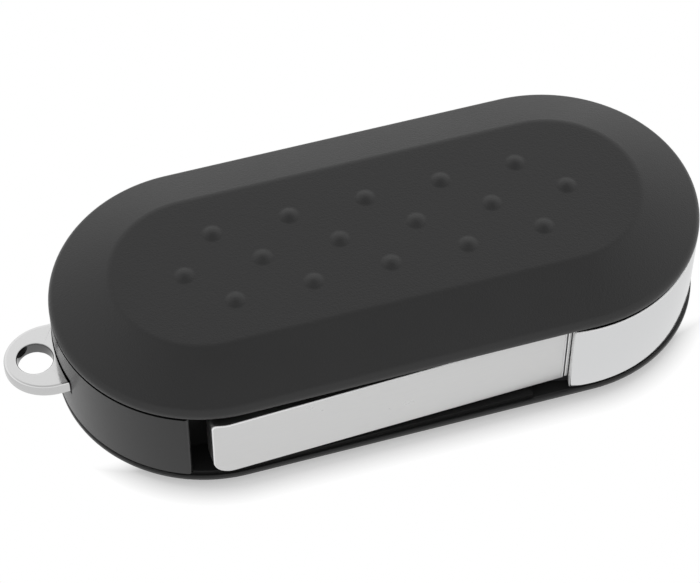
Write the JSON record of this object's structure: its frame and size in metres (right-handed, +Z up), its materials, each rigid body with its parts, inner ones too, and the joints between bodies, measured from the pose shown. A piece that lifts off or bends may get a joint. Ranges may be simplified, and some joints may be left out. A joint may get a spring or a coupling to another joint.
{
  "type": "flip key fob shell",
  "caption": "Stadium-shaped folding key fob shell with an uncut flip blade, chromed hub, push keys, key-ring tab and a clipped back cover with raised dots.",
  "frame": {"origin": "middle of the case's plan on the flat of the button face, which it lies on", "axes": "+X towards the hub and the blade's pivot, -X towards the key-ring tab, -Y towards the blade's window, +Z up through the back cover"},
  "size_m": [0.08, 0.0344, 0.0168],
  "materials": {
    "cover_plastic": "soft satin",
    "case_plastic": "satin",
    "tray_plastic": "satin",
    "contact_bronze": "satin",
    "silicone": "matt",
    "key_plastic": "satin",
    "hub_chrome": "bright",
    "dog_plastic": "satin",
    "rotor_plastic": "satin",
    "washer_plastic": "satin",
    "spring_steel": "drawn",
    "blade_steel": "polished",
    "tab_steel": "polished",
    "screw_steel": "blackened"
  },
  "bodies": {
    "case": {"front_case": "case_plastic", "mid_frame": "case_plastic", "board_tray": "tray_plastic", "battery_contact_negative": "contact_bronze", "battery_contact_positive": "contact_bronze", "keypad_mat": "silicone", "release_ring": "hub_chrome", "hub_washer": "washer_plastic", "key_ring_loop": "tab_steel", "loop_pin": "spring_steel", "case_screws": "screw_steel", "flip_spring": "spring_steel"},
    "blade_hub": {"hub_rotor": "rotor_plastic", "hub_band": "hub_chrome", "blade": "blade_steel", "blade_pin": "spring_steel"},
    "release": {"release_button": "hub_chrome", "lock_dog": "dog_plastic"},
    "lock_key": {"lock_button": "key_plastic"},
    "unlock_key": {"unlock_button": "key_plastic"},
    "boot_key": {"boot_button": "key_plastic"},
    "cover": {"back_cover": "cover_plastic"}
  },
  "joints": [
    {"name": "blade_flip", "type": "hinge", "parent": "case", "child": "blade_hub", "pos_m": [0.02, 0, 0.0072], "axis": [0, 0, 1], "range_deg": [0, 178]},
    {"name": "release_press", "type": "slide", "parent": "case", "child": "release", "axis": [0, 0, 1], "range_m": [0, 0.0015], "stiffness_N_per_m": 1500, "deforming": ["flip_spring"]},
    {"name": "lock_press", "type": "slide", "parent": "case", "child": "lock_key", "axis": [0, 0, 1], "range_m": [0, 0.0005], "stiffness_N_per_m": 1200},
    {"name": "unlock_press", "type": "slide", "parent": "case", "child": "unlock_key", "axis": [0, 0, 1], "range_m": [0, 0.0005], "stiffness_N_per_m": 1200},
    {"name": "boot_press", "type": "slide", "parent": "case", "child": "boot_key", "axis": [0, 0, 1], "range_m": [0, 0.0005], "stiffness_N_per_m": 1200},
    {"name": "cover_lift", "type": "slide", "parent": "case", "child": "cover", "axis": [0, 0, 1], "range_m": [0, 0.015]}
  ]
}
